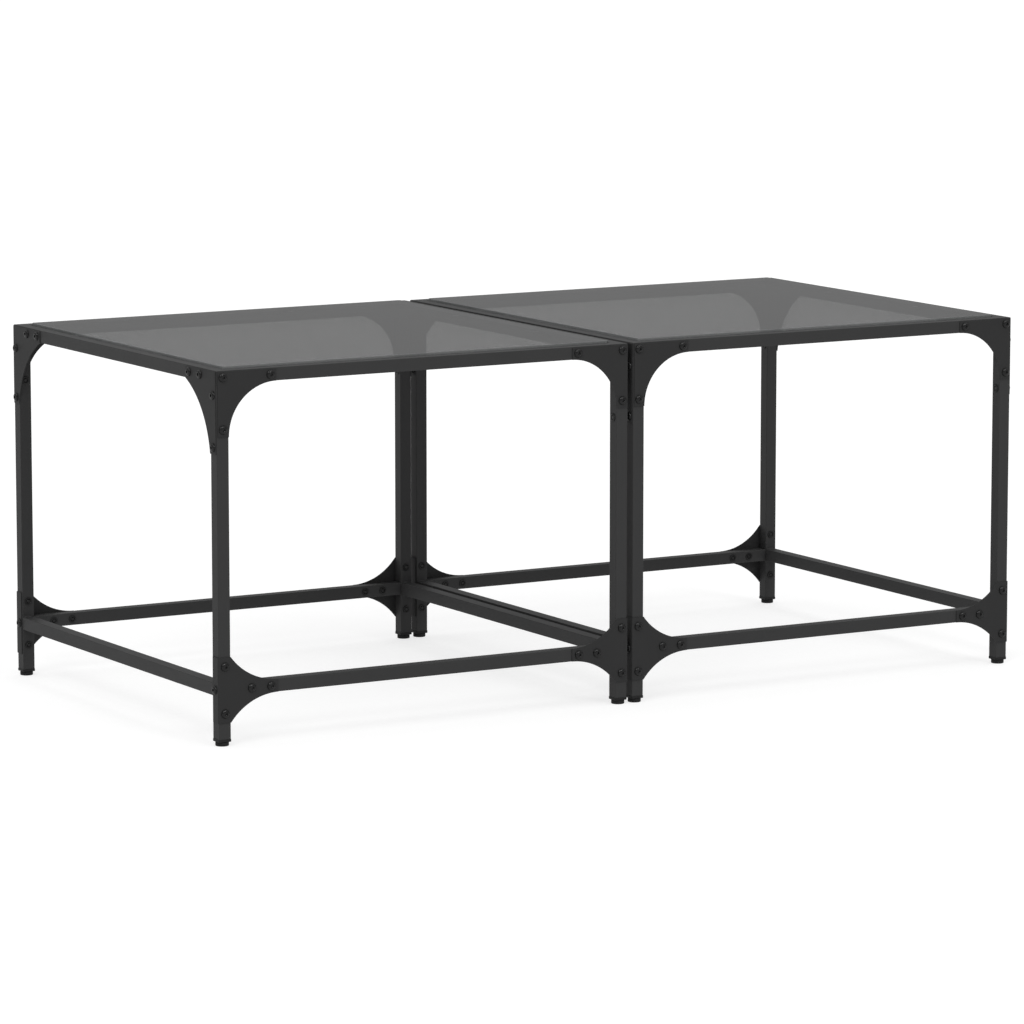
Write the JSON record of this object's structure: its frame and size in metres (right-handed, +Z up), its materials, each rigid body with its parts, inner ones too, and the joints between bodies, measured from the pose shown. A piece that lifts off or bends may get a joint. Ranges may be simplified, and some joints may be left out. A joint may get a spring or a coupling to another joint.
{
  "type": "coffee table pair",
  "caption": "Two square low tables side by side, black bolted square-tube frames with gusset plates and smoked glass tops.",
  "frame": {"origin": "on the floor, midway between the two tables", "axes": "+X along the pair of tables, +Y to the back, +Z up"},
  "size_m": [1.014, 0.5068, 0.4],
  "materials": {
    "powder_coat": "fine matte black powder coat",
    "black_bolt": "black oxide, satin",
    "black_nut": "black oxide, satin",
    "moulded_black": "moulded black plastic",
    "foot_black": "moulded black plastic",
    "smoked_glass": "smoked grey tempered glass, ground edges",
    "clear_silicone": "clear silicone"
  },
  "bodies": {
    "left_table_frame": {"left_table_top_rail_front": "powder_coat", "left_table_base_rail_front": "powder_coat", "left_table_top_rail_back": "powder_coat", "left_table_base_rail_back": "powder_coat", "left_table_top_rail_left": "powder_coat", "left_table_base_rail_left": "powder_coat", "left_table_top_rail_right": "powder_coat", "left_table_base_rail_right": "powder_coat", "left_table_leg_front_left": "powder_coat", "left_table_top_plates_front_left": "powder_coat", "left_table_base_plate_front_left": "powder_coat", "left_table_leg_front_right": "powder_coat", "left_table_top_plates_front_right": "powder_coat", "left_table_base_plate_front_right": "powder_coat", "left_table_leg_back_left": "powder_coat", "left_table_top_plates_back_left": "powder_coat", "left_table_base_plate_back_left": "powder_coat", "left_table_leg_back_right": "powder_coat", "left_table_top_plates_back_right": "powder_coat", "left_table_base_plate_back_right": "powder_coat", "left_table_glass_ledges": "powder_coat", "left_table_leg_plugs": "moulded_black", "left_table_bolts": "black_bolt", "left_table_nuts": "black_nut"},
    "left_table_glass": {"left_table_glass_top": "smoked_glass", "left_table_glass_pads": "clear_silicone"},
    "left_table_foot_front_left": {"left_table_foot_front_left": "foot_black"},
    "left_table_foot_front_right": {"left_table_foot_front_right": "foot_black"},
    "left_table_foot_back_left": {"left_table_foot_back_left": "foot_black"},
    "left_table_foot_back_right": {"left_table_foot_back_right": "foot_black"},
    "right_table_frame": {"right_table_top_rail_front": "powder_coat", "right_table_base_rail_front": "powder_coat", "right_table_top_rail_back": "powder_coat", "right_table_base_rail_back": "powder_coat", "right_table_top_rail_left": "powder_coat", "right_table_base_rail_left": "powder_coat", "right_table_top_rail_right": "powder_coat", "right_table_base_rail_right": "powder_coat", "right_table_leg_front_left": "powder_coat", "right_table_top_plates_front_left": "powder_coat", "right_table_base_plate_front_left": "powder_coat", "right_table_leg_front_right": "powder_coat", "right_table_top_plates_front_right": "powder_coat", "right_table_base_plate_front_right": "powder_coat", "right_table_leg_back_left": "powder_coat", "right_table_top_plates_back_left": "powder_coat", "right_table_base_plate_back_left": "powder_coat", "right_table_leg_back_right": "powder_coat", "right_table_top_plates_back_right": "powder_coat", "right_table_base_plate_back_right": "powder_coat", "right_table_glass_ledges": "powder_coat", "right_table_leg_plugs": "moulded_black", "right_table_bolts": "black_bolt", "right_table_nuts": "black_nut"},
    "right_table_glass": {"right_table_glass_top": "smoked_glass", "right_table_glass_pads": "clear_silicone"},
    "right_table_foot_front_left": {"right_table_foot_front_left": "foot_black"},
    "right_table_foot_front_right": {"right_table_foot_front_right": "foot_black"},
    "right_table_foot_back_left": {"right_table_foot_back_left": "foot_black"},
    "right_table_foot_back_right": {"right_table_foot_back_right": "foot_black"}
  },
  "joints": [
    {"name": "right_table_slide", "type": "slide", "parent": "left_table_frame", "child": "right_table_frame", "axis": [1, 0, 0], "range_m": [0, 0.3]},
    {"name": "left_table_glass_lift", "type": "slide", "parent": "left_table_frame", "child": "left_table_glass", "axis": [0, 0, 1], "range_m": [0, 0.12]},
    {"name": "left_table_foot_front_left_screw", "type": "slide", "parent": "left_table_frame", "child": "left_table_foot_front_left", "axis": [0, 0, -1], "range_m": [0, 0.008]},
    {"name": "left_table_foot_front_right_screw", "type": "slide", "parent": "left_table_frame", "child": "left_table_foot_front_right", "axis": [0, 0, -1], "range_m": [0, 0.008]},
    {"name": "left_table_foot_back_left_screw", "type": "slide", "parent": "left_table_frame", "child": "left_table_foot_back_left", "axis": [0, 0, -1], "range_m": [0, 0.008]},
    {"name": "left_table_foot_back_right_screw", "type": "slide", "parent": "left_table_frame", "child": "left_table_foot_back_right", "axis": [0, 0, -1], "range_m": [0, 0.008]},
    {"name": "right_table_glass_lift", "type": "slide", "parent": "right_table_frame", "child": "right_table_glass", "axis": [0, 0, 1], "range_m": [0, 0.12]},
    {"name": "right_table_foot_front_left_screw", "type": "slide", "parent": "right_table_frame", "child": "right_table_foot_front_left", "axis": [0, 0, -1], "range_m": [0, 0.008]},
    {"name": "right_table_foot_front_right_screw", "type": "slide", "parent": "right_table_frame", "child": "right_table_foot_front_right", "axis": [0, 0, -1], "range_m": [0, 0.008]},
    {"name": "right_table_foot_back_left_screw", "type": "slide", "parent": "right_table_frame", "child": "right_table_foot_back_left", "axis": [0, 0, -1], "range_m": [0, 0.008]},
    {"name": "right_table_foot_back_right_screw", "type": "slide", "parent": "right_table_frame", "child": "right_table_foot_back_right", "axis": [0, 0, -1], "range_m": [0, 0.008]}
  ]
}
